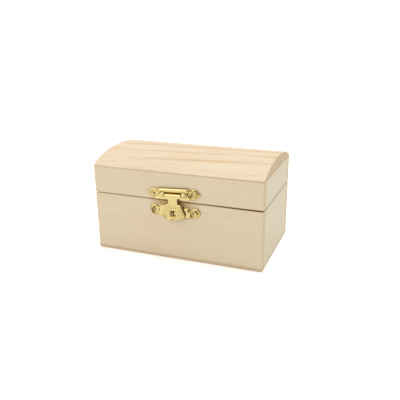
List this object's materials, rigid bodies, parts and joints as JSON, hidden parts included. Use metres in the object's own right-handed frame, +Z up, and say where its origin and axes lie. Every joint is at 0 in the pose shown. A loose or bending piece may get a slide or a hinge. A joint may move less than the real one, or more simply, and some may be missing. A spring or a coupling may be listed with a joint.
{
  "type": "treasure chest box",
  "caption": "Small wooden treasure chest box with a solid domed lid, butt hinges at the back and a gilt hasp latch on the front.",
  "frame": {"origin": "centre of the wooden case's underside", "axes": "+X to the right along the front, +Y from the latch side to the hinge side, +Z up"},
  "size_m": [0.12, 0.0786, 0.0687],
  "materials": {
    "case_wood": "bare sanded pine",
    "top_wood": "bare sanded pine with soft growth bands",
    "panel_wood": "thin plywood",
    "latch_brass": "bright brass plating on pressed steel",
    "hinge_brass": "bright brass plating on folded steel",
    "screw_brass": "brass plating, darker in the recess"
  },
  "bodies": {
    "base": {"base_front_board": "case_wood", "base_back_board": "case_wood", "base_left_board": "case_wood", "base_right_board": "case_wood", "base_bottom_panel": "panel_wood", "latch_lower_plate": "latch_brass", "latch_lower_screws": "screw_brass", "left_hinge_base_leaf": "hinge_brass", "left_hinge_base_screws": "screw_brass", "left_hinge_pin": "hinge_brass", "right_hinge_base_leaf": "hinge_brass", "right_hinge_base_screws": "screw_brass", "right_hinge_pin": "hinge_brass"},
    "lid": {"lid_front_board": "case_wood", "lid_back_board": "case_wood", "lid_left_board": "case_wood", "lid_right_board": "case_wood", "lid_domed_top": "top_wood", "latch_upper_plate": "latch_brass", "latch_upper_screws": "screw_brass", "latch_pin": "latch_brass", "left_hinge_lid_leaf": "hinge_brass", "left_hinge_lid_screws": "screw_brass", "right_hinge_lid_leaf": "hinge_brass", "right_hinge_lid_screws": "screw_brass"},
    "hasp": {"latch_hasp": "latch_brass"}
  },
  "joints": [
    {"name": "lid_hinge", "type": "hinge", "parent": "base", "child": "lid", "pos_m": [0, 0.0377, 0.0419], "axis": [-1, 0, 0], "range_deg": [0, 180]},
    {"name": "hasp_swing", "type": "hinge", "parent": "lid", "child": "hasp", "pos_m": [-0.0003, -0.03755, 0.0463], "axis": [-0.9986, 0, -0.0523], "range_deg": [0, 140]}
  ]
}
